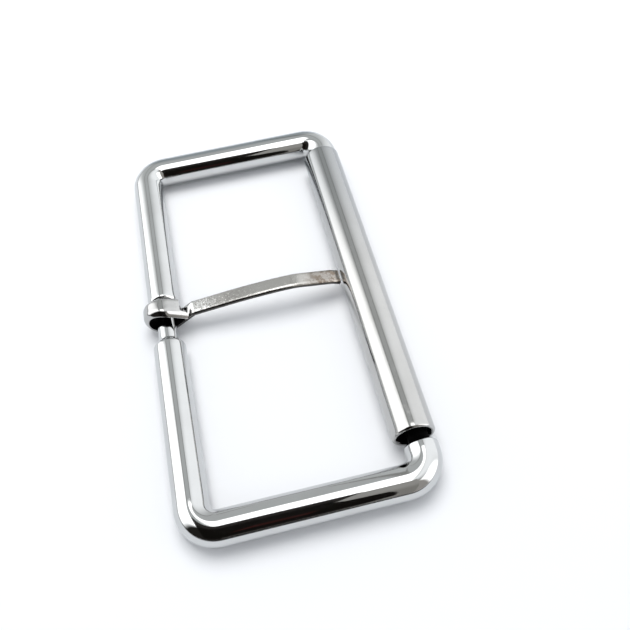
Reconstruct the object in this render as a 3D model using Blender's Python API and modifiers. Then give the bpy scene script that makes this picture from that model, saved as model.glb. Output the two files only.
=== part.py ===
"""Roller buckle for a wide belt: a cast frame, a loose roller on one long side and a prong on the other.

World axes: +X runs from the hinge bar to the roller, +Y runs along the long bars, +Z is up.
The origin is the centre of the frame's outline, on the plane that the buckle lies on.
"""

import math

import bmesh
import bpy

MM = 0.001

# Frame: one closed ring of round bar
BAR_DIAMETER = 6.0 * MM
OPENING_LENGTH = 75.0 * MM  # the strap width that the buckle takes
OPENING_WIDTH = 33.0 * MM
BEND_RADIUS = 4.2 * MM  # of the bar's centre line at each corner
BEND_STEPS = 8
BAR_SIDES = 24

# Neck: the thin middle of the hinge bar that the prong turns on
NECK_DIAMETER = 3.6 * MM
NECK_LENGTH = 7.7 * MM

# Seat: the thinner stretch of the roller's bar
SEAT_DIAMETER = 4.5 * MM
SEAT_LENGTH = 68.9 * MM
SHOULDER_STEPS = 4

# Roller: a thin tube that lies on the same plane as the frame
ROLLER_DIAMETER = 7.6 * MM
ROLLER_WALL = 0.4 * MM
ROLLER_LENGTH = 67.8 * MM
ROLLER_RIM_RADIUS = 0.3 * MM
ROLLER_RIM_STEPS = 3
ROLLER_SHIFT_X = -0.72 * MM  # it hangs towards the opening on its seat
ROLLER_SHIFT_Y = 0.5 * MM  # it is slid towards one corner
ROLLER_STEPS = 48

# Prong: a flat strip, curled round the neck at one end
STRIP_WIDTH = 3.15 * MM
STRIP_THICKNESS = 1.05 * MM
LOOP_DIAMETER = 7.4 * MM
LOOP_STEP_ANGLE = math.radians(10.0)
LOOP_SHIFT_X = -0.3 * MM  # the loop is loose on the neck
PRONG_SHIFT_Y = 1.95 * MM
CURL_END = (5.35 * MM, 1.0 * MM)  # where the curl's end stops above the blade's root
# Blade's centre line from the loop's centre, as distance along +X and height
BLADE_POINTS = (
    (5.9 * MM, 0.3 * MM),
    (9.4 * MM, 0.75 * MM),
    (16.8 * MM, 1.6 * MM),
    (24.8 * MM, 2.0 * MM),
    (29.2 * MM, 1.4 * MM),
    (33.0 * MM, 0.7 * MM),
)
BLADE_STEPS = 5  # between two of those points
TIP_END = (34.35 * MM, 0.1 * MM)  # the tip bends down to the roller's side
STRIP_EDGE_RADIUS = 0.22 * MM
STRIP_EDGE_SEGMENTS = 2
STRIP_EDGE_ANGLE = math.radians(60.0)  # sharper edges than this are eased

MERGE_DISTANCE = 0.00001
SMOOTH_ANGLE = math.radians(32.0)

BAR_RADIUS = BAR_DIAMETER / 2
HALF_X = (OPENING_WIDTH + BAR_DIAMETER) / 2  # to the centre lines of the long bars
HALF_Y = (OPENING_LENGTH + BAR_DIAMETER) / 2  # to the centre lines of the short bars


def clear_scene():
    for obj in list(bpy.data.objects):
        bpy.data.objects.remove(obj, do_unlink=True)


def make_collection(name):
    collection = bpy.data.collections.new(name)
    bpy.context.scene.collection.children.link(collection)
    return collection


def make_material(name, color, roughness):
    material = bpy.data.materials.new(name)
    material.use_nodes = True
    shader = material.node_tree.nodes["Principled BSDF"]
    shader.inputs["Base Color"].default_value = (*color, 1.0)
    shader.inputs["Metallic"].default_value = 1.0
    shader.inputs["Roughness"].default_value = roughness
    material.diffuse_color = (*color, 1.0)
    return material


def shoulder(foot, thin, full):
    """Quarter round from a thin stretch up to the full bar: (distance from the middle, radius) pairs."""
    height = full - thin
    turns = [math.pi / 2 * step / SHOULDER_STEPS for step in range(SHOULDER_STEPS + 1)]
    return [(foot + height * (1 - math.cos(a)), thin + height * math.sin(a)) for a in turns]


def long_bar(x, thin_length, thin_diameter, direction):
    """Stations of one long bar, (x, y, radius), with its thin stretch centred; direction is +1 or -1 along Y."""
    half = shoulder(thin_length / 2, thin_diameter / 2, BAR_RADIUS)
    along = [(-y, radius) for y, radius in reversed(half)] + half
    return [(x, y * direction, radius) for y, radius in along]


def corner(centre_x, centre_y, start_angle):
    """Stations of one corner bend, a quarter turn anticlockwise from start_angle."""
    turns = [start_angle + math.pi / 2 * step / BEND_STEPS for step in range(BEND_STEPS + 1)]
    return [
        (centre_x + BEND_RADIUS * math.cos(a), centre_y + BEND_RADIUS * math.sin(a), BAR_RADIUS)
        for a in turns
    ]


def make_frame(collection, material):
    """The closed ring: a round section swept along a rounded rectangle, thinner at the neck and the seat."""
    bend_x = HALF_X - BEND_RADIUS
    bend_y = HALF_Y - BEND_RADIUS
    stations = long_bar(HALF_X, SEAT_LENGTH, SEAT_DIAMETER, 1)
    stations += corner(bend_x, bend_y, 0.0)
    stations += corner(-bend_x, bend_y, math.pi / 2)
    stations += long_bar(-HALF_X, NECK_LENGTH, NECK_DIAMETER, -1)
    stations += corner(-bend_x, -bend_y, math.pi)
    stations += corner(bend_x, -bend_y, math.pi * 3 / 2)

    curve = bpy.data.curves.new("frame", "CURVE")
    curve.dimensions = "3D"
    curve.twist_mode = "Z_UP"
    curve.bevel_resolution = BAR_SIDES // 2 - 2
    # The flats of the faceted section, not its corners, lie at the bar's radius
    curve.bevel_depth = BAR_RADIUS / math.cos(math.pi / BAR_SIDES)
    spline = curve.splines.new("POLY")
    spline.points.add(len(stations) - 1)
    spline.use_cyclic_u = True
    for point, (x, y, radius) in zip(spline.points, stations):
        point.co = (x, y, 0.0, 1.0)
        point.radius = radius / BAR_RADIUS
        point.tilt = math.pi / BAR_SIDES
    frame = bpy.data.objects.new("frame", curve)
    frame.location = (0.0, 0.0, BAR_RADIUS)
    curve.materials.append(material)
    collection.objects.link(frame)
    return frame


def roller_profile():
    """Closed wall section at +X, down the outside and up the inside, with a small round at each outer rim."""
    outer = ROLLER_DIAMETER / 2
    inner = outer - ROLLER_WALL
    end = ROLLER_LENGTH / 2
    rim = []
    for step in range(ROLLER_RIM_STEPS + 1):
        angle = math.pi / 2 * (1 - step / ROLLER_RIM_STEPS)
        across = outer - ROLLER_RIM_RADIUS * (1 - math.cos(angle))
        along = end - ROLLER_RIM_RADIUS * (1 - math.sin(angle))
        rim.append((across, along))
    return rim + [(x, -z) for x, z in reversed(rim)] + [(inner, -end), (inner, end)]


def make_roller(collection, material):
    """A thin tube, turned about its own axis and laid along Y."""
    profile = roller_profile()
    mesh = bpy.data.meshes.new("roller")
    shape = bmesh.new()
    corners = [shape.verts.new((x, 0.0, z)) for x, z in profile]
    for first, second in zip(corners, corners[1:] + corners[:1]):
        shape.edges.new((first, second))
    shape.to_mesh(mesh)
    shape.free()
    roller = bpy.data.objects.new("roller", mesh)
    roller.location = (HALF_X + ROLLER_SHIFT_X, ROLLER_SHIFT_Y, ROLLER_DIAMETER / 2)
    roller.rotation_euler = (-math.pi / 2, 0.0, 0.0)
    screw = roller.modifiers.new("turn", "SCREW")
    screw.axis = "Z"
    screw.angle = math.tau
    screw.steps = ROLLER_STEPS
    screw.render_steps = ROLLER_STEPS
    screw.use_merge_vertices = True
    screw.merge_threshold = MERGE_DISTANCE
    screw.use_smooth_shade = True
    mesh.materials.append(material)
    collection.objects.link(roller)
    return roller


def tangent_angle(point, radius, side):
    """Angle on a circle about the origin where a tangent through point touches it; side is +1 or -1."""
    reach = math.hypot(*point)
    return math.atan2(point[1], point[0]) + side * math.acos(radius / reach)


def through_points(points, steps):
    """Smooth curve through points, as a Catmull-Rom spline, without the first point."""
    first = points[0]
    last = points[-1]
    before = (2 * first[0] - points[1][0], 2 * first[1] - points[1][1])
    after = (2 * last[0] - points[-2][0], 2 * last[1] - points[-2][1])
    padded = [before, *points, after]
    found = []
    for a, b, c, d in zip(padded, padded[1:], padded[2:], padded[3:]):
        for step in range(1, steps + 1):
            t = step / steps
            found.append(
                tuple(
                    0.5 * (2 * b[i] + (c[i] - a[i]) * t
                           + (2 * a[i] - 5 * b[i] + 4 * c[i] - d[i]) * t**2
                           + (3 * b[i] - a[i] - 3 * c[i] + d[i]) * t**3)
                    for i in (0, 1)
                )
            )
    return found


def strip_path():
    """Centre line of the strip about the loop's centre, from the curl's end round the neck to the tip."""
    radius = (LOOP_DIAMETER - STRIP_THICKNESS) / 2
    start = tangent_angle(CURL_END, radius, 1)
    stop = tangent_angle(BLADE_POINTS[0], radius, -1) + math.tau
    steps = math.ceil((stop - start) / LOOP_STEP_ANGLE)
    turns = [start + (stop - start) * step / steps for step in range(steps + 1)]
    path = [CURL_END]
    path += [(radius * math.cos(a), radius * math.sin(a)) for a in turns]
    path.append(BLADE_POINTS[0])
    path += through_points(BLADE_POINTS, BLADE_STEPS)
    path.append(TIP_END)
    return path


def make_prong(collection, material):
    """The curled strip: an open ribbon made solid, with its edges eased."""
    mesh = bpy.data.meshes.new("prong")
    shape = bmesh.new()
    near = [shape.verts.new((x, -STRIP_WIDTH / 2, z)) for x, z in strip_path()]
    edges = [shape.edges.new(pair) for pair in zip(near, near[1:])]
    sweep = bmesh.ops.extrude_edge_only(shape, edges=edges)
    far = [item for item in sweep["geom"] if isinstance(item, bmesh.types.BMVert)]
    bmesh.ops.translate(shape, verts=far, vec=(0.0, STRIP_WIDTH, 0.0))
    bmesh.ops.recalc_face_normals(shape, faces=shape.faces)
    shape.to_mesh(mesh)
    shape.free()
    prong = bpy.data.objects.new("prong", mesh)
    prong.location = (-HALF_X + LOOP_SHIFT_X, PRONG_SHIFT_Y, LOOP_DIAMETER / 2)
    solidify = prong.modifiers.new("thickness", "SOLIDIFY")
    solidify.thickness = STRIP_THICKNESS
    solidify.offset = 0.0
    solidify.use_even_offset = True
    bevel = prong.modifiers.new("eased edges", "BEVEL")
    bevel.width = STRIP_EDGE_RADIUS
    bevel.segments = STRIP_EDGE_SEGMENTS
    bevel.limit_method = "ANGLE"
    bevel.angle_limit = STRIP_EDGE_ANGLE
    mesh.materials.append(material)
    mesh.shade_smooth()
    mesh.set_sharp_from_angle(angle=SMOOTH_ANGLE)
    collection.objects.link(prong)
    return prong


clear_scene()
parts = make_collection("belt_buckle")
nickel = make_material("bright_nickel", (0.80, 0.81, 0.82), 0.07)
roller_nickel = make_material("roller_nickel", (0.76, 0.76, 0.75), 0.10)
strip_steel = make_material("strip_steel", (0.62, 0.61, 0.59), 0.30)
make_frame(parts, nickel)
make_roller(parts, roller_nickel)
make_prong(parts, strip_steel)
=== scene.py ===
"""Looks of the roller buckle: fine meshes, metal finishes, and the plain studio that they reflect."""

import math

import bmesh
import bpy
from mathutils import Matrix, Vector, noise


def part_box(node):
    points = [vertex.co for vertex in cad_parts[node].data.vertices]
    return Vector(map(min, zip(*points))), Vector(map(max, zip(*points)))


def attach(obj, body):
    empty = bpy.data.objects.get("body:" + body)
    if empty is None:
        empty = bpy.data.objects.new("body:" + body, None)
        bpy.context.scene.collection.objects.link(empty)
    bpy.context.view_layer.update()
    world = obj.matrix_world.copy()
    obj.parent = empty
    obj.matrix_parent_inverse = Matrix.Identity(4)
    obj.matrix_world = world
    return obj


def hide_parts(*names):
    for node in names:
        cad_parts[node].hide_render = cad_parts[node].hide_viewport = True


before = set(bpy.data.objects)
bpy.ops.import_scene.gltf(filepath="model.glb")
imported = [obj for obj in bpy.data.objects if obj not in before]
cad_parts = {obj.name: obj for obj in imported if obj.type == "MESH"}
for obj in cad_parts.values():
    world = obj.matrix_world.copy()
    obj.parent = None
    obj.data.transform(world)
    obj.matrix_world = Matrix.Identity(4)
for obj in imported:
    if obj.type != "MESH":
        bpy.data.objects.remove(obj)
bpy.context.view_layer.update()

MM = 0.001

# ---------------------------------------------------------------- sizes
ring_low, ring_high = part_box("frame")
tube_low, tube_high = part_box("roller")
prong_low, prong_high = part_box("prong")

# Frame ring
BAR_RADIUS = (ring_high.z - ring_low.z) / 2
HALF_X = (ring_high.x - ring_low.x) / 2 - BAR_RADIUS  # to the centre lines of the long bars
HALF_Y = (ring_high.y - ring_low.y) / 2 - BAR_RADIUS  # to the centre lines of the short bars
BARE_SHADED_BELOW = BAR_RADIUS - 0.2 * MM  # where the roller's bar is thinner than this, it is bare and painted nearly black, as shade under the roller
BEND_RADIUS = 4.2 * MM
BAR_SIDES = 72
BEND_STEPS = 20
STATION_STEP = 0.8 * MM  # along the straight stretches
NECK_RADIUS = 1.8 * MM
NECK_LENGTH = 8.5 * MM
NECK_SHOULDER = 1.1 * MM  # length of the round up to the full bar
SEAT_RADIUS = 1.85 * MM
SEAT_LENGTH = 68.9 * MM
SEAT_SHOULDER = 0.75 * MM
SHOULDER_STEPS = 10
FLAT_DEPTH = 0.18 * MM
FLAT_ANGLE = math.radians(88.0)  # from the outer side of the ring, up and over
FLAT_WIDTH = math.radians(15.0)

# Roller
ROLLER_RADIUS = (tube_high.z - tube_low.z) / 2
ROLLER_LENGTH = tube_high.y - tube_low.y
ROLLER_CENTRE = (tube_low + tube_high) / 2
ROLLER_WALL = 0.4 * MM
ROLLER_LIP = 0.42 * MM  # radius of the rim, which is turned in at both ends
ROLLER_LIP_STEPS = 14
ROLLER_SIDES = 144
ROLLER_STEP = 0.8 * MM
SEAM_WIDTH = 0.24 * MM
SEAM_DEPTH = 0.12 * MM
SEAM_TURN = math.radians(-100.0)  # from straight up: on the opening's side, a little below

# Prong
STRIP_WIDTH = prong_high.y - prong_low.y
STRIP_THICKNESS = 1.05 * MM
LOOP_DIAMETER = prong_high.z - prong_low.z
LOOP_RADIUS = (LOOP_DIAMETER - STRIP_THICKNESS) / 2  # to the middle of the strip
LOOP_STEP_ANGLE = math.radians(3.0)
LOOP_CENTRE = Vector((prong_low.x + LOOP_DIAMETER / 2, (prong_low.y + prong_high.y) / 2,
                      prong_low.z + LOOP_DIAMETER / 2))
# Places on the strip's centre line are (along X, up) from the loop's centre
CURL_END = (4.75 * MM, 1.05 * MM)
BLADE_POINTS = (
    (5.9 * MM, 0.3 * MM),
    (9.4 * MM, 0.75 * MM),
    (16.8 * MM, 1.6 * MM),
    (24.8 * MM, 2.0 * MM),
    (29.2 * MM, 1.4 * MM),
    (33.0 * MM, 0.7 * MM),
)
BLADE_STEPS = 18
TIP_END = (34.35 * MM, 0.1 * MM)
STRIP_EDGE = (0.80 * MM, 0.42 * MM)  # how far the rounded edges reach across and through the strip
STRIP_EDGE_STEPS = 8
STRIP_FACE_STEPS = 8
SHEARED_WIDTH = 0.04 * MM  # the sheared faces lie within this of the strip's sides
CURL_SPREAD = 0.9 * MM  # the curl's end is beaten wider by this, towards the camera
CURL_SPREAD_SHARE = 0.40  # of the way round the loop
CURL_NOTCH = 1.7 * MM  # its far side is this much shorter than its near side
CURL_NOTCH_FROM = -0.34  # where the step between them starts and ends, in strip widths
CURL_NOTCH_TO = -0.16
CURL_DROOP = 0.62 * MM  # the outer face of the loop falls by this at its edge towards the camera
CURL_DROOP_SHARE = 0.85  # of the way round the loop
CURL_DROOP_FROM = -0.12  # where across the strip it starts, in strip widths
BARE_ROOT_SHARE = 0.55  # of the straight stretch from under the neck up to the blade
SHEARED_FROM = math.radians(285.0)  # round the loop: before this the sides are polished; from here on they are painted dark as shade
MITRE_LIMIT = 0.5  # least cosine of half a bend that the strip's thickness is mitred for
SHARP_CORNER = math.radians(38.0)  # edges that turn more than this aren't smoothed over
# The finishes of the prong's faces, in the order in which the mesh has them; the last two are painted
# dark as shade
PLATED, SHEARED_SHADED, BARE_SHADED = range(3)

# Unevenness left by casting, rolling and polishing: (depth, spacing)
CAST_RIPPLE = (0.014 * MM, 7.0 * MM)
ROLLED_RIPPLE = (0.006 * MM, 9.0 * MM)
STAMPED_RIPPLE = (0.015 * MM, 0.9 * MM)

# ---------------------------------------------------------------- finishes
EDGE_TINT = (0.94, 0.95, 0.96)  # nickel reflects less than white where the surface turns away

# Each pattern is (scale, detail, roughness) of Blender's noise, which runs from 0 to 1. A STEP is
# where in the noise one look starts to give way to the other, and where it has done so.
RING_NICKEL = {
    "color": (0.60, 0.61, 0.61),
    "cloud_color": (0.57, 0.575, 0.575),
    "roughness": 0.035,
    "grain": (1.0, 1.0, 1.0),
    "grain_height": 0.0014 * MM,
    # Painted shade: the far short bar's outer half is coloured darker, dimming what it reflects
    "far_shade_color": (0.38, 0.415, 0.435),
    "far_shade_from_to": (HALF_Y - 0.4 * MM, HALF_Y + 0.6 * MM),
}
TUBE_NICKEL = {
    "color": (0.50, 0.498, 0.49),
    "cloud_color": (0.465, 0.462, 0.452),
    "roughness": 0.085,
    "grain": (1.0, 0.05, 1.0),
    "grain_height": 0.0032 * MM,
    # Painted shade: the roller turns darker towards its far end, dimming its reflected stripe there
    "far_shade_color": (0.385, 0.395, 0.40),
    "far_shade_from_to": (-8 * MM, 36 * MM),
}
CLOUDS = (160.0, 4.0, 0.5)
CLOUD_STEP = (0.35, 0.7)
WEAR = (900.0, 5.0, 0.6)
WEAR_STEP = (0.45, 0.75)
WORN_ROUGHNESS = 2.2  # times the roughness elsewhere
MARKS = (2600.0, 2.0, 0.5)
PITS = (5200.0, 1.0, 0.5)
PIT_STEP = (0.72, 0.8)
PIT_DEPTH = 1.5  # times the height of the marks
NICKEL_BUMP = 0.5

# Inside the roller, on the seat under it and on the loop's inner face: bare metal, painted nearly black
# as shade where little light gets in, with a faint mottle in tone and roughness
BORE_SHADE_MOTTLE = (700.0, 4.0, 0.5)
BORE_SHADE_STEP = (0.3, 0.7)
BORE_SHADE_COLORS = ((0.001, 0.001, 0.0015), (0.005, 0.0045, 0.004))
BORE_ROUGHNESS = (0.6, 0.85)
BORE_METALLIC = 0.9

# The prong's strip; FROM_TO distances are along X from the loop's centre
LOOP_COLOR = (0.46, 0.46, 0.455)
LOOP_ROUGHNESS = 0.07
LOOP_GRAIN_SHARE = 0.15  # height of the grain on the polished loop, as a share of the blade's
BLADE_FROM_TO = (2 * MM, 8 * MM)  # where the polished loop gives way to the blade
BLADE_PATCHES = (420.0, 4.0, 0.5)
BLADE_COLORS = ((0.535, 0.52, 0.495), (0.63, 0.615, 0.59))
BLADE_ROUGHNESS = 0.16
SPARKLES = (3800.0, 2.0, 0.5)
SPARKLE_STEP = (0.4, 0.55)
SPARKLE_COLOR = (0.93, 0.925, 0.91)
SPARKLE_ENDS_FROM_TO = (7.5 * MM, 12 * MM)
BROWN_SPECKS = (900.0, 5.0, 0.65)
BROWN_STEP = (0.42, 0.58)
BROWN_LEAST = 0.45  # share of the brown between the specks
BROWN_SHARE = 0.85
BROWN_COLOR = (0.20, 0.15, 0.11)
BROWN_FROM_TO = (26.5 * MM, 30.5 * MM)
STRIP_GRAIN = (5200.0, 3.0, 0.6)
STRIP_GRAIN_SQUEEZE = (0.6, 1.0, 1.0)
STRIP_PITS = (2300.0, 2.0, 0.5)
STRIP_PIT_STEP = (0.55, 0.75)
STRIP_PIT_DEPTH = 2.0  # times the height of the grain
STRIP_GRAIN_HEIGHT = 0.008 * MM
STRIP_BUMP = 0.8

SHEAR_LINES = (1500.0, 3.0, 0.5)
SHEAR_SQUEEZE = (6.0, 1.0, 0.4)
# Painted shade: the cut sides are far darker than bare steel, standing for the shade on the strip's
# shadow side
SHEARED_SHADE_COLORS = ((0.05, 0.05, 0.048), (0.14, 0.135, 0.13))
SHEARED_ROUGHNESS = 0.35
SHEAR_LINE_HEIGHT = 0.004 * MM
SHEARED_BUMP = 0.5

# ---------------------------------------------------------------- studio
# The camera's place and angles; azimuth and elevation are where it looks, from +Y and downwards
CAMERA_PLACE = Vector((-2.4854, -76.9530, 113.6759)) * MM
CAMERA_AZIMUTH = math.radians(8.489)  # towards +X
CAMERA_ELEVATION = math.radians(56.654)
CAMERA_ROLL = math.radians(-5.412)
CAMERA_LENS = 39.971
SENSOR_WIDTH = 36.0

FLOOR_SIZE = 3.0
FLOOR_DROP = 0.03 * MM  # keeps the floor clear of the metal's ripple
FLOOR_COLOR = (0.86, 0.865, 0.875)
FLOOR_CLOUDS = (40.0, 2.0, 0.5)
FLOOR_CLOUD_COLOR = (0.8, 0.8, 0.8)
FLOOR_CLOUD_SHARE = 0.02
FLOOR_ROUGHNESS = 0.9
# Between these distances from the buckle the floor's own glow takes over from the lamp
FLOOR_GLOW_FROM_TO = (0.10, 0.85)
FLOOR_GLOW = 0.55
BACKDROP = (0.93, 0.94, 0.96)  # what the camera sees beyond the floor
FILL = (0.54, 0.565, 0.60)  # soft light from all sides on whatever isn't a mirror

# The lamp for whatever isn't a mirror: wide, overhead, a little to the far side
SOFTBOX_PLACE = Vector((0.0, 0.19, 0.55))
SOFTBOX_SIZE = 0.45
SOFTBOX_ENERGY = 2.36

# What the polished metal sees far off: a plain radiance, and soft-edged areas in it, later ones on
# top. Each is (name, azimuth, half width, softness, elevation, half height, softness, radiance);
# angles are in degrees, azimuth 0 is +Y and 90 is +X.
SURROUNDINGS = (0.64, 0.66, 0.66)
PATCHES = (
    ("open room", 150, 30, 24, 25, 60, 20, (0.42, 0.40, 0.38)),
    ("right wall", 66, 36, 50, 40, 60, 20, (1.38, 1.40, 1.42)),
    ("right window", 112, 19, 10, 30, 29, 8, (2.4, 2.4, 2.4)),
    ("left window", -76, 40, 34, 47, 40, 6, (2.25, 2.26, 2.27)),
    ("dark room", -144, 44, 18, 30, 44, 20, (0.022, 0.020, 0.018)),
)
# Areas overhead, given by how far a direction leans for each unit that it rises. Each is its name,
# (middle, half width, softness) along X, the same along Y, and the radiance.
OVERHEAD = (
    ("ceiling", -0.06, 0.28, 0.06, 2.0, 2.0, 0.3, (0.60, 0.62, 0.62)),
    ("left rail", -0.26, 0.025, 0.03, 2.0, 1.7, 0.1, (0.34, 0.34, 0.33)),
    ("right rail", 0.18, 0.025, 0.03, 2.0, 1.7, 0.1, (0.34, 0.34, 0.33)),
    ("ceiling panel", 0.03, 0.17, 0.05, -0.43, 0.78, 0.06, (2.6, 2.6, 2.6)),
)

# What stands near the buckle and shows in the metal. The outlines are flat and lie across the
# camera's line of sight: (to the right of the lens, above the lens). Each has two radiances and
# the distances between which the first turns into the second.
CAMERA_OUTLINE = (
    (-80 * MM, 64 * MM),
    (10 * MM, 64 * MM),
    (12 * MM, 0 * MM),
    (20 * MM, -20 * MM),
    (38 * MM, -38 * MM),
    (46 * MM, -60 * MM),
    (58 * MM, -100 * MM),
    (66 * MM, -130 * MM),
    (60 * MM, -150 * MM),
    (-90 * MM, -150 * MM),
)
CAMERA_LOW_GLOW = (0.008, 0.007, 0.006)
CAMERA_HIGH_GLOW = (0.040, 0.036, 0.034)
CAMERA_FADE = (5 * MM, 55 * MM)  # above the lens
SLEEVE_OUTLINE = (
    (0 * MM, 62 * MM),
    (44 * MM, 56 * MM),
    (96 * MM, -60 * MM),
    (110 * MM, -160 * MM),
    (0 * MM, -160 * MM),
)
SLEEVE_LOW_GLOW = (0.30, 0.29, 0.27)
SLEEVE_HIGH_GLOW = (0.42, 0.41, 0.39)
SLEEVE_FADE = (-60 * MM, 0 * MM)  # above the lens
SLEEVE_AHEAD = -4 * MM  # of the lens, so it is behind the camera
STRAP_OUTLINE = (
    (-4 * MM, -50 * MM),
    (18 * MM, -56 * MM),
    (20 * MM, -82 * MM),
    (-6 * MM, -78 * MM),
)
STRAP_LEFT_GLOW = (0.060, 0.016, 0.014)
STRAP_RIGHT_GLOW = (0.040, 0.012, 0.011)
STRAP_FADE = (0 * MM, 10 * MM)  # to the right of the buckle's middle
STRAP_AHEAD = 3 * MM
# The dark table top on the near side: its left, right, near and far edge
TABLE_EDGES = (-0.25, 0.12, -0.5, -0.08)
TABLE_HEIGHT = 0.2 * MM


def radians_of(values):
    return [math.radians(value) for value in values]


# ---------------------------------------------------------------- shader helpers
# Blender's Mix node has a set of sockets for each kind of value; these are the ones for colours
MIX_SHARE = 0
MIX_FIRST = 6
MIX_SECOND = 7
MIX_RESULT = 2


class Graph:
    """Adds shader nodes and links them; a value may be a number, a colour or another node's output."""

    def __init__(self, tree):
        self.tree = tree
        tree.nodes.clear()

    def add(self, kind, inputs=None, **settings):
        node = self.tree.nodes.new(kind)
        for key, value in settings.items():
            setattr(node, key, value)
        for key, value in (inputs or {}).items():
            self.put(node.inputs[key], value)
        return node

    def put(self, socket, value):
        if isinstance(value, bpy.types.NodeSocket):
            self.tree.links.new(value, socket)
        elif socket.type == "RGBA":
            socket.default_value = (*value, 1.0)
        else:
            socket.default_value = value

    def math(self, operation, *values):
        return self.add("ShaderNodeMath", dict(enumerate(values)), operation=operation).outputs[0]

    def mix(self, share, first, second):
        """first where share is 0, second where it is 1; all may be colours or outputs of nodes."""
        node = self.add("ShaderNodeMix", data_type="RGBA")
        self.put(node.inputs[MIX_SHARE], share)
        self.put(node.inputs[MIX_FIRST], first)
        self.put(node.inputs[MIX_SECOND], second)
        return node.outputs[MIX_RESULT]

    def ramp(self, value, low, high, start=0.0, end=1.0):
        """start where value is low, end where it is high, and a smooth step between."""
        inputs = {"Value": value, "From Min": low, "From Max": high, "To Min": start, "To Max": end}
        node = self.add("ShaderNodeMapRange", inputs, interpolation_type="SMOOTHSTEP")
        return node.outputs["Result"]

    def near(self, value, middle, reach, softness):
        """1 where value is within reach of middle, 0 away from it, with a soft edge."""
        off = self.math("ABSOLUTE", self.math("SUBTRACT", value, middle))
        return self.ramp(off, reach - softness / 2, reach + softness / 2, 1.0, 0.0)

    def noise(self, place, pattern):
        scale, detail, roughness = pattern
        inputs = {"Vector": place, "Scale": scale, "Detail": detail, "Roughness": roughness}
        return self.add("ShaderNodeTexNoise", inputs).outputs["Fac"]

    def object_place(self):
        """Where the shaded point is, in metres from the scene's origin."""
        return self.add("ShaderNodeTexCoord").outputs["Object"]

    def squeezed(self, place, scale):
        """The place scaled by (x, y, z), so that a pattern runs longer one way than another."""
        return self.add("ShaderNodeMapping", {"Vector": place, "Scale": scale}).outputs[0]

    def bump(self, height, distance, strength):
        inputs = {"Height": height, "Distance": distance, "Strength": strength}
        return self.add("ShaderNodeBump", inputs).outputs["Normal"]


def new_material(name):
    material = bpy.data.materials.new(name)
    material.use_nodes = True
    return material, Graph(material.node_tree)


def finish_surface(graph, inputs):
    """Ends a material in one Principled shader."""
    shader = graph.add("ShaderNodeBsdfPrincipled", inputs)
    graph.add("ShaderNodeOutputMaterial", {"Surface": shader.outputs[0]})


def finish_metal(graph, color, roughness, normal):
    finish_surface(graph, {
        "Base Color": color,
        "Roughness": roughness,
        "Metallic": 1.0,
        "Specular Tint": EDGE_TINT,
        "Normal": normal,
    })


# ---------------------------------------------------------------- metals
def polished_nickel(name, color, cloud_color, roughness, grain, grain_height, far_shade_color,
                    far_shade_from_to):
    """Bright plating: faint clouds in its colour, and fine marks left by the wheel or by drawing.

    The grain is how the marks are squeezed along X, Y and Z. Painted shade, a darker colour that dims
    the reflections towards the far end, comes in along Y.
    """
    material, graph = new_material(name)
    place = graph.object_place()
    clouds = graph.noise(place, CLOUDS)
    tint = graph.mix(graph.ramp(clouds, *CLOUD_STEP), color, cloud_color)
    along = graph.add("ShaderNodeSeparateXYZ", {"Vector": place}).outputs["Y"]
    # painted shade: the metal darkens along Y, towards the far end
    tint = graph.mix(graph.ramp(along, *far_shade_from_to), tint, far_shade_color)
    wear = graph.noise(place, WEAR)
    dull = graph.ramp(wear, *WEAR_STEP, roughness, roughness * WORN_ROUGHNESS)
    marks = graph.noise(graph.squeezed(place, grain), MARKS)
    pits = graph.ramp(graph.noise(place, PITS), *PIT_STEP, 0.0, -PIT_DEPTH)
    height = graph.math("ADD", marks, pits)
    finish_metal(graph, tint, dull, graph.bump(height, grain_height, NICKEL_BUMP))
    return material


def dark_bore(name):
    """Bare metal inside the roller, on the seat under it and on the loop's inner face, painted nearly
    black as shade where little light gets in.
    """
    material, graph = new_material(name)
    mottle = graph.noise(graph.object_place(), BORE_SHADE_MOTTLE)
    finish_surface(graph, {
        "Base Color": graph.mix(mottle, *BORE_SHADE_COLORS),
        "Roughness": graph.ramp(mottle, *BORE_SHADE_STEP, *BORE_ROUGHNESS),
        "Metallic": BORE_METALLIC,
    })
    return material


def strip_color(graph, place, from_loop, blade_share):
    """Pale steel with a polished loop, bright speckles next to it, and brown specks at the tip."""
    color = graph.mix(graph.noise(place, BLADE_PATCHES), *BLADE_COLORS)
    sparkle = graph.ramp(graph.noise(place, SPARKLES), *SPARKLE_STEP)
    near_loop = graph.ramp(from_loop, *SPARKLE_ENDS_FROM_TO, 1.0, 0.0)
    color = graph.mix(graph.math("MULTIPLY", near_loop, sparkle), color, SPARKLE_COLOR)
    color = graph.mix(blade_share, LOOP_COLOR, color)
    specks = graph.ramp(graph.noise(place, BROWN_SPECKS), *BROWN_STEP, BROWN_LEAST, 1.0)
    brown = graph.math("MULTIPLY", graph.ramp(from_loop, *BROWN_FROM_TO), specks)
    return graph.mix(graph.math("MULTIPLY", brown, BROWN_SHARE), color, BROWN_COLOR)


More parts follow.
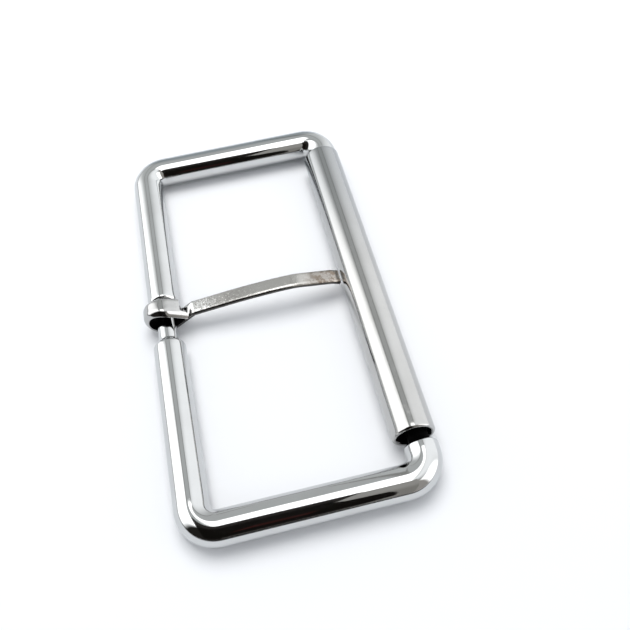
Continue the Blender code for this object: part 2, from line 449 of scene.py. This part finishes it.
def strip_steel(name):
    """Plated strip that was never polished, except round the loop: grain and shallow pits."""
    material, graph = new_material(name)
    place = graph.object_place()
    along = graph.add("ShaderNodeSeparateXYZ", {"Vector": place}).outputs["X"]
    from_loop = graph.math("SUBTRACT", along, LOOP_CENTRE.x)
    blade_share = graph.ramp(from_loop, *BLADE_FROM_TO)
    color = strip_color(graph, place, from_loop, blade_share)
    dull = graph.ramp(blade_share, 0.0, 1.0, LOOP_ROUGHNESS, BLADE_ROUGHNESS)
    grain = graph.noise(graph.squeezed(place, STRIP_GRAIN_SQUEEZE), STRIP_GRAIN)
    pits = graph.ramp(graph.noise(place, STRIP_PITS), *STRIP_PIT_STEP, 0.0, -STRIP_PIT_DEPTH)
    grain_share = graph.ramp(blade_share, 0.0, 1.0, LOOP_GRAIN_SHARE, 1.0)
    height = graph.math("MULTIPLY", graph.math("ADD", grain, pits), grain_share)
    finish_metal(graph, color, dull, graph.bump(height, STRIP_GRAIN_HEIGHT, STRIP_BUMP))
    return material


def shaded_sheared_steel(name):
    """The strip's cut sides: bare steel with fine lines across them left by the shears, painted nearly
    black as the shade on the strip's shadow side.
    """
    material, graph = new_material(name)
    lines = graph.noise(graph.squeezed(graph.object_place(), SHEAR_SQUEEZE), SHEAR_LINES)
    color = graph.mix(lines, *SHEARED_SHADE_COLORS)
    normal = graph.bump(lines, SHEAR_LINE_HEIGHT, SHEARED_BUMP)
    finish_metal(graph, color, SHEARED_ROUGHNESS, normal)
    return material


# ---------------------------------------------------------------- mesh helpers
def smooth_step(share):
    """0 up to 0, 1 from 1 on, and a smooth rise between."""
    share = min(max(share, 0.0), 1.0)
    return share * share * (3 - 2 * share)


def ripple(point, size):
    depth, spacing = size
    return depth * noise.noise(Vector(point) / spacing)


def mesh_from_rows(name, rows, endless=False):
    """A smooth mesh through closed rows of points; endless joins the last row to the first."""
    shape = bmesh.new()
    grid = [[shape.verts.new(point) for point in row] for row in rows]
    next_rows = grid[1:] + grid[:1] if endless else grid[1:]
    for first, second in zip(grid, next_rows):
        for i in range(len(first)):
            j = (i + 1) % len(first)
            shape.faces.new((first[i], first[j], second[j], second[i]))
    if not endless:
        shape.faces.new(reversed(grid[0]))
        shape.faces.new(grid[-1])
    bmesh.ops.recalc_face_normals(shape, faces=shape.faces)
    mesh = bpy.data.meshes.new(name)
    shape.to_mesh(mesh)
    shape.free()
    mesh.shade_smooth()
    return mesh


def add_piece(name, mesh, body, slot, node, *materials):
    """Puts a fine mesh in place of a CAD node, on the same body."""
    for material in materials:
        mesh.materials.append(material)
    piece = bpy.data.objects.new(name, mesh)
    bpy.context.scene.collection.objects.link(piece)
    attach(piece, body)
    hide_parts(node)


# ---------------------------------------------------------------- frame ring
def shoulder(foot, thin, length):
    """Quarter round from a thin stretch up to the full bar: (distance from the middle, radius) pairs."""
    height = BAR_RADIUS - thin
    turns = [math.pi / 2 * step / SHOULDER_STEPS for step in range(SHOULDER_STEPS + 1)]
    return [(foot + length * (1 - math.cos(a)), thin + height * math.sin(a)) for a in turns]


def evenly(start, end, step):
    """Values between start and end, without either, about one step apart."""
    count = max(1, round(abs(end - start) / step))
    return [start + (end - start) * i / count for i in range(1, count)]


def long_bar(thin_length, thin_radius, shoulder_length, bend_start):
    """(distance along the bar from its middle, radius) of one long bar, from bend to bend."""
    rise = shoulder(thin_length / 2, thin_radius, shoulder_length)
    half = [(y, thin_radius) for y in evenly(0.0, rise[0][0], STATION_STEP)]
    half += rise
    half += [(y, BAR_RADIUS) for y in evenly(rise[-1][0], bend_start, STATION_STEP)]
    return [(-y, radius) for y, radius in reversed(half)] + [(0.0, thin_radius)] + half


def ring_stations():
    """(centre, outward direction, radius) round the ring, anticlockwise from the roller's bar."""
    bend_x = HALF_X - BEND_RADIUS
    bend_y = HALF_Y - BEND_RADIUS
    stations = []
    seat = SEAT_LENGTH, SEAT_RADIUS, SEAT_SHOULDER
    neck = NECK_LENGTH, NECK_RADIUS, NECK_SHOULDER
    for side, bar in ((1, seat), (-1, neck)):
        outward = Vector((side, 0.0, 0.0))
        for y, radius in long_bar(*bar, bend_y):
            stations.append((Vector((side * HALF_X, side * y, 0.0)), outward, radius))
        for turn, mirror in ((0.0, side), (math.pi / 2, -side)):
            centre = Vector((mirror * bend_x, side * bend_y, 0.0))
            base = turn + (0.0 if side > 0 else math.pi)
            for step in range(BEND_STEPS + 1):
                angle = base + math.pi / 2 * step / BEND_STEPS
                outward_here = Vector((math.cos(angle), math.sin(angle), 0.0))
                stations.append((centre + outward_here * BEND_RADIUS, outward_here, BAR_RADIUS))
            if turn == 0.0:
                for x in evenly(side * bend_x, -side * bend_x, STATION_STEP):
                    place = Vector((x, side * HALF_Y, 0.0))
                    stations.append((place, Vector((0.0, side, 0.0)), BAR_RADIUS))
    return stations


def flattened(place, angle, outward):
    """How far polishing has taken down the top of the short bar on the side towards the camera."""
    if place.y > BEND_RADIUS - HALF_Y:
        return 0.0
    off = (angle - FLAT_ANGLE) / FLAT_WIDTH
    return -outward.y * FLAT_DEPTH * math.exp(-off * off / 2)


def make_ring(nickel, bore):
    up = Vector((0.0, 0.0, 1.0))
    rows = []
    seat_rows = []
    for centre, outward, radius in ring_stations():
        row = []
        for side in range(BAR_SIDES):
            angle = math.tau * side / BAR_SIDES
            direction = outward * math.cos(angle) + up * math.sin(angle)
            reach = radius - flattened(centre, angle, outward)
            point = centre + up * BAR_RADIUS + direction * reach
            row.append(point + direction * ripple(point, CAST_RIPPLE))
        rows.append(row)
        seat_rows.append(centre.x > 0 and radius < BARE_SHADED_BELOW)
    mesh = mesh_from_rows("frame_ring", rows, endless=True)
    for index, polygon in enumerate(mesh.polygons):
        polygon.material_index = int(seat_rows[index // BAR_SIDES])
    add_piece("frame_ring", mesh, "frame", "frame_nickel", "frame", nickel, bore)


# ---------------------------------------------------------------- roller
def roller_rings():
    """(radius, distance along the axis, is inside) round the wall's section, outer face first."""
    end = ROLLER_LENGTH / 2 - ROLLER_LIP
    middle = ROLLER_RADIUS - ROLLER_LIP
    turns = [math.pi * step / ROLLER_LIP_STEPS for step in range(ROLLER_LIP_STEPS + 1)]
    rim = [(middle + ROLLER_LIP * math.cos(a), end + ROLLER_LIP * math.sin(a), False) for a in turns]
    far_rim = [(radius, -y, False) for radius, y, _ in reversed(rim)]
    outside = far_rim + [(ROLLER_RADIUS, y, False) for y in evenly(-end, end, ROLLER_STEP)] + rim
    inner_radius = ROLLER_RADIUS - ROLLER_WALL
    inner_end = end - ROLLER_LIP / 2
    inside = [(inner_radius, y, True) for y in evenly(inner_end, -inner_end, ROLLER_STEP * 4)]
    return outside + [(inner_radius, inner_end, True)] + inside + [(inner_radius, -inner_end, True)]


def make_roller(nickel, bore):
    """A rolled tube: its edges meet in a fine seam along the side that faces the opening."""
    half_seam = SEAM_WIDTH / 2 / ROLLER_RADIUS
    seam = [(-half_seam, 0.0), (-half_seam / 3, 1.0), (half_seam / 3, 1.0), (half_seam, 0.0)]
    turns = [(SEAM_TURN + offset, share) for offset, share in seam]
    rest = math.tau - 2 * half_seam
    for side in range(1, ROLLER_SIDES):
        turns.append((SEAM_TURN + half_seam + rest * side / ROLLER_SIDES, 0.0))
    rows = []
    inner = []
    for radius, along, is_inside in roller_rings():
        row = []
        for turn, share in turns:
            direction = Vector((math.sin(turn), 0.0, math.cos(turn)))
            depth = 0.0 if is_inside else SEAM_DEPTH * share
            point = ROLLER_CENTRE + Vector((0.0, along, 0.0)) + direction * (radius - depth)
            row.append(point + direction * ripple(point, ROLLED_RIPPLE))
        rows.append(row)
        inner.append(is_inside)
    # The inside faces take the bore's finish: painted shade inside the tube
    bare = [here or there for here, there in zip(inner, inner[1:] + inner[:1])]
    mesh = mesh_from_rows("roller_tube", rows, endless=True)
    for index, polygon in enumerate(mesh.polygons):
        polygon.material_index = int(bare[index // len(turns)])
    add_piece("roller_tube", mesh, "roller", "roller_nickel", "roller", nickel, bore)


# ---------------------------------------------------------------- prong
def tangent_angle(point, radius, side):
    """Angle on a circle about the origin where a tangent through point touches it; side is +1 or -1."""
    reach = math.hypot(*point)
    return math.atan2(point[1], point[0]) + side * math.acos(radius / reach)


def spline_value(a, b, c, d, t):
    """One coordinate of a Catmull-Rom spline, at share t of the way from b to c."""
    square = (2 * a - 5 * b + 4 * c - d) * t**2
    cube = (3 * b - a - 3 * c + d) * t**3
    return 0.5 * (2 * b + (c - a) * t + square + cube)


def through_points(points, steps):
    """Smooth curve through points, without the first point."""
    first = points[0]
    last = points[-1]
    before = (2 * first[0] - points[1][0], 2 * first[1] - points[1][1])
    after = (2 * last[0] - points[-2][0], 2 * last[1] - points[-2][1])
    padded = [before, *points, after]
    found = []
    for corners in zip(padded, padded[1:], padded[2:], padded[3:]):
        for step in range(1, steps + 1):
            found.append(tuple(spline_value(*values, step / steps) for values in zip(*corners)))
    return found


def loop_turns():
    """Angles round the neck, from where the curl's straight end starts to where the blade leaves."""
    start = tangent_angle(CURL_END, LOOP_RADIUS, 1)
    stop = tangent_angle(BLADE_POINTS[0], LOOP_RADIUS, -1) + math.tau
    steps = math.ceil((stop - start) / LOOP_STEP_ANGLE)
    return [start + (stop - start) * step / steps for step in range(steps + 1)]


def strip_path():
    """The strip's centre line, from the curl's end round the neck to the tip."""
    path = [CURL_END]
    path += [(LOOP_RADIUS * math.cos(a), LOOP_RADIUS * math.sin(a)) for a in loop_turns()]
    foot = path[-1]
    head = BLADE_POINTS[0]
    path.append(tuple(a + (b - a) * BARE_ROOT_SHARE for a, b in zip(foot, head)))
    path.append(head)
    path += through_points(BLADE_POINTS, BLADE_STEPS)
    path.append(TIP_END)
    return path


def strip_section():
    """The strip's rounded section: (across, out) pairs, anticlockwise, centred."""
    edge_across, edge_out = STRIP_EDGE
    half_width = STRIP_WIDTH / 2 - edge_across
    half_depth = STRIP_THICKNESS / 2 - edge_out
    section = []
    for quarter, (side, level) in enumerate(((1, 1), (-1, 1), (-1, -1), (1, -1))):
        for step in range(STRIP_EDGE_STEPS + 1):
            angle = math.pi / 2 * (quarter + step / STRIP_EDGE_STEPS)
            across = side * half_width + edge_across * math.cos(angle)
            out = level * half_depth + edge_out * math.sin(angle)
            section.append((across, out))
        if side == level:
            across, out = section[-1]
            for step in range(1, STRIP_FACE_STEPS):
                section.append((across * (1 - 2 * step / STRIP_FACE_STEPS), out))
    return section


def strip_finish(segment, section, in_loop, polished_side):
    """Which finish a face takes; cut sides past the polished part are painted dark as shade, and in the
    loop the strip's inner face is bare and painted nearly black as shade against the neck.
    """
    ends = section[segment], section[(segment + 1) % len(section)]
    across, level = [(a + b) / 2 for a, b in zip(*ends)]
    if abs(across) > STRIP_WIDTH / 2 - SHEARED_WIDTH:
        return PLATED if polished_side else SHEARED_SHADED
    return BARE_SHADED if in_loop and level > 0 else PLATED


def along_path(path, index):
    """Direction of travel, direction out of the loop's inner face, and cosine of half the bend."""
    place = path[index]
    before = (place - path[max(index - 1, 0)]).normalized()
    after = (path[min(index + 1, len(path) - 1)] - place).normalized()
    travel = (before + after).normalized()
    out = Vector((-travel.z, 0.0, travel.x))
    mitre = max(travel.dot(after if index == 0 else before), MITRE_LIMIT)
    return travel, out, mitre


def cut_back(share):
    """How much the curl's end is cut back at this place across the strip, given in strip widths."""
    return CURL_NOTCH * smooth_step((share - CURL_NOTCH_FROM) / (CURL_NOTCH_TO - CURL_NOTCH_FROM))


def strip_rows(path, section, loop_stations):
    """The section carried along the path, with the loop's beaten edge and stepped end."""
    spread_stations = loop_stations * CURL_SPREAD_SHARE
    droop_stations = loop_stations * CURL_DROOP_SHARE
    rows = []
    for index, place in enumerate(path):
        travel, out, mitre = along_path(path, index)
        spread = CURL_SPREAD * smooth_step(1 - index / spread_stations)
        droop = CURL_DROOP * smooth_step(2 - 2 * index / droop_stations)
        row = []
        for across, level in section:
            share = across / STRIP_WIDTH
            aside = across - spread * (0.5 - share)
            lowered = droop * max(0.0, (CURL_DROOP_FROM - share) / (CURL_DROOP_FROM + 0.5)) ** 2
            reach = level / mitre + lowered * (0.5 - level / STRIP_THICKNESS)
            point = LOOP_CENTRE + place + Vector((0.0, aside, 0.0)) + out * reach
            if index == 0:
                point += travel * cut_back(share)
            row.append(point + out * ripple(point, STAMPED_RIPPLE))
        rows.append(row)
    return rows


def make_prong(steel, sheared, bore):
    path = [Vector((x, 0.0, z)) for x, z in strip_path()]
    section = strip_section()
    turns = loop_turns()
    loop_stations = len(turns) + 1
    sheared_start = sum(turn < SHEARED_FROM for turn in turns)
    mesh = mesh_from_rows("prong_strip", strip_rows(path, section, loop_stations))
    for index, polygon in enumerate(mesh.polygons):
        station, segment = divmod(index, len(section))
        # The strip's two end faces take the dark cut finish: painted shade
        finish = SHEARED_SHADED
        if station < len(path) - 1:
            finish = strip_finish(segment, section, station < loop_stations, station < sheared_start)
        polygon.material_index = finish
    mesh.set_sharp_from_angle(angle=SHARP_CORNER)
    add_piece("prong_strip", mesh, "prong", "prong_steel", "prong", steel, sheared, bore)


# ---------------------------------------------------------------- studio
def camera_axes():
    """Right, up and forward directions of the camera."""
    forward = Vector((
        math.sin(CAMERA_AZIMUTH) * math.cos(CAMERA_ELEVATION),
        math.cos(CAMERA_AZIMUTH) * math.cos(CAMERA_ELEVATION),
        -math.sin(CAMERA_ELEVATION),
    ))
    level = forward.cross(Vector((0.0, 0.0, 1.0))).normalized()
    above = level.cross(forward)
    right = level * math.cos(CAMERA_ROLL) + above * math.sin(CAMERA_ROLL)
    up = above * math.cos(CAMERA_ROLL) - level * math.sin(CAMERA_ROLL)
    return right, up, forward


def make_camera():
    right, up, forward = camera_axes()
    camera = bpy.data.objects.new("camera", bpy.data.cameras.new("camera"))
    bpy.context.scene.collection.objects.link(camera)
    turned = Matrix((right, up, -forward)).transposed().to_4x4()
    camera.matrix_world = Matrix.Translation(CAMERA_PLACE) @ turned
    camera.data.sensor_width = SENSOR_WIDTH
    camera.data.lens = CAMERA_LENS
    camera.data.clip_start = 1 * MM
    bpy.context.scene.camera = camera


def make_world():
    """What the metal mirrors far off, the fill for the rest, and what the camera sees."""
    world = bpy.data.worlds.new("studio")
    bpy.context.scene.world = world
    world.use_nodes = True
    graph = Graph(world.node_tree)
    direction = graph.add("ShaderNodeTexCoord").outputs["Generated"]
    parts = graph.add("ShaderNodeSeparateXYZ", {"Vector": direction}).outputs
    azimuth = graph.math("ARCTAN2", parts["X"], parts["Y"])
    elevation = graph.math("ARCSINE", parts["Z"])
    color = SURROUNDINGS
    for _, *area, radiance in PATCHES:
        side, half_width, soft_side, level, half_height, soft_level = radians_of(area)
        turned = graph.math("WRAP", graph.math("SUBTRACT", azimuth, side), math.pi, -math.pi)
        inside = graph.math(
            "MULTIPLY",
            graph.near(turned, 0.0, half_width, soft_side),
            graph.near(elevation, level, half_height, soft_level),
        )
        color = graph.mix(inside, color, radiance)
    lean_x = graph.math("DIVIDE", parts["X"], parts["Z"])
    lean_y = graph.math("DIVIDE", parts["Y"], parts["Z"])
    above = graph.math("GREATER_THAN", parts["Z"], 0.0)
    for _, middle_x, half_x, soft_x, middle_y, half_y, soft_y, radiance in OVERHEAD:
        inside = graph.math(
            "MULTIPLY",
            graph.near(lean_x, middle_x, half_x, soft_x),
            graph.near(lean_y, middle_y, half_y, soft_y),
        )
        color = graph.mix(graph.math("MULTIPLY", inside, above), color, radiance)
    path = graph.add("ShaderNodeLightPath").outputs
    lit = graph.mix(path["Is Diffuse Ray"], color, FILL)
    seen = graph.mix(path["Is Camera Ray"], lit, BACKDROP)
    shader = graph.add("ShaderNodeBackground", {"Color": seen})
    graph.add("ShaderNodeOutputWorld", {"Surface": shader.outputs[0]})


def reflected_only(obj):
    """The metal mirrors it, and nothing else sees it or is shaded by it."""
    obj.visible_camera = False
    obj.visible_diffuse = False
    obj.visible_transmission = False
    obj.visible_volume_scatter = False
    obj.visible_shadow = False


def make_card(name, corners, material):
    """A flat thing near the buckle, which only the metal sees."""
    mesh = bpy.data.meshes.new(name)
    mesh.from_pydata(corners, [], [range(len(corners))])
    mesh.materials.append(material)
    card = bpy.data.objects.new(name, mesh)
    bpy.context.scene.collection.objects.link(card)
    reflected_only(card)


def glow(name, first, second, direction, fade):
    """A plain emitting finish that turns from one radiance to another along a direction."""
    material, graph = new_material(name)
    place = graph.add("ShaderNodeNewGeometry").outputs["Position"]
    inputs = {0: place, 1: tuple(direction)}
    along = graph.add("ShaderNodeVectorMath", inputs, operation="DOT_PRODUCT").outputs["Value"]
    color = graph.mix(graph.ramp(along, *fade), first, second)
    shader = graph.add("ShaderNodeEmission", {"Color": color})
    graph.add("ShaderNodeOutputMaterial", {"Surface": shader.outputs[0]})
    return material


def across_view(outline, ahead):
    """Corners of a flat outline across the line of sight, this far ahead of the lens."""
    right, up, forward = camera_axes()
    middle = CAMERA_PLACE + forward * ahead
    return [middle + right * aside + up * above for aside, above in outline]


def table_corners():
    left, right, near, far = TABLE_EDGES
    return [(x, y, TABLE_HEIGHT) for x, y in ((left, near), (right, near), (right, far), (left, far))]


def make_cards():
    right, up, _ = camera_axes()
    lens = CAMERA_PLACE.dot(up)
    camera_fade = [lens + height for height in CAMERA_FADE]
    sleeve_fade = [lens + height for height in SLEEVE_FADE]
    dark = glow("dark_back", CAMERA_LOW_GLOW, CAMERA_HIGH_GLOW, up, camera_fade)
    cloth = glow("sleeve_cloth", SLEEVE_LOW_GLOW, SLEEVE_HIGH_GLOW, up, sleeve_fade)
    red = glow("red_strap", STRAP_LEFT_GLOW, STRAP_RIGHT_GLOW, right, STRAP_FADE)
    make_card("camera_back", across_view(CAMERA_OUTLINE, 0.0), dark)
    make_card("strap", across_view(STRAP_OUTLINE, STRAP_AHEAD), red)
    make_card("dark_table", table_corners(), dark)
    make_card("sleeve", across_view(SLEEVE_OUTLINE, SLEEVE_AHEAD), cloth)


def pale_floor():
    """The floor's finish: dull, and glowing by itself where the lamp doesn't reach."""
    material, graph = new_material("pale_floor")
    place = graph.object_place()
    cloud_share = graph.math("MULTIPLY", graph.noise(place, FLOOR_CLOUDS), FLOOR_CLOUD_SHARE)
    away = graph.add("ShaderNodeVectorMath", {0: place}, operation="LENGTH").outputs["Value"]
    finish_surface(graph, {
        "Base Color": graph.mix(cloud_share, FLOOR_COLOR, FLOOR_CLOUD_COLOR),
        "Roughness": FLOOR_ROUGHNESS,
        "Specular IOR Level": 0.0,
        "Emission Color": BACKDROP,
        "Emission Strength": graph.ramp(away, *FLOOR_GLOW_FROM_TO, 0.0, FLOOR_GLOW),
    })
    return material


def make_floor():
    mesh = bpy.data.meshes.new("floor")
    half = FLOOR_SIZE / 2
    corners = [(-half, -half, 0), (half, -half, 0), (half, half, 0), (-half, half, 0)]
    mesh.from_pydata(corners, [], [range(len(corners))])
    mesh.materials.append(pale_floor())
    floor = bpy.data.objects.new("floor", mesh)
    floor.location.z = -FLOOR_DROP
    bpy.context.scene.collection.objects.link(floor)


def make_softbox():
    data = bpy.data.lights.new("softbox", "AREA")
    data.shape = "DISK"
    data.size = SOFTBOX_SIZE
    data.energy = SOFTBOX_ENERGY
    softbox = bpy.data.objects.new("softbox", data)
    softbox.location = SOFTBOX_PLACE
    softbox.rotation_mode = "QUATERNION"
    softbox.rotation_quaternion = SOFTBOX_PLACE.to_track_quat("Z", "Y")
    softbox.visible_glossy = False
    softbox.visible_camera = False
    bpy.context.scene.collection.objects.link(softbox)


# ---------------------------------------------------------------- the scene
ring_nickel = polished_nickel("ring_nickel", **RING_NICKEL)
tube_nickel = polished_nickel("tube_nickel", **TUBE_NICKEL)
# Nearly black bore finish: painted shade inside the tube, on the seat and inside the loop
shaded_bore_steel = dark_bore("shaded_bore_steel")
make_ring(ring_nickel, shaded_bore_steel)
make_roller(tube_nickel, shaded_bore_steel)
make_prong(strip_steel("strip_steel"), shaded_sheared_steel("shaded_sheared_steel"), shaded_bore_steel)

make_world()
make_cards()
make_floor()
make_softbox()
make_camera()
bpy.context.scene.view_settings.view_transform = "Standard"
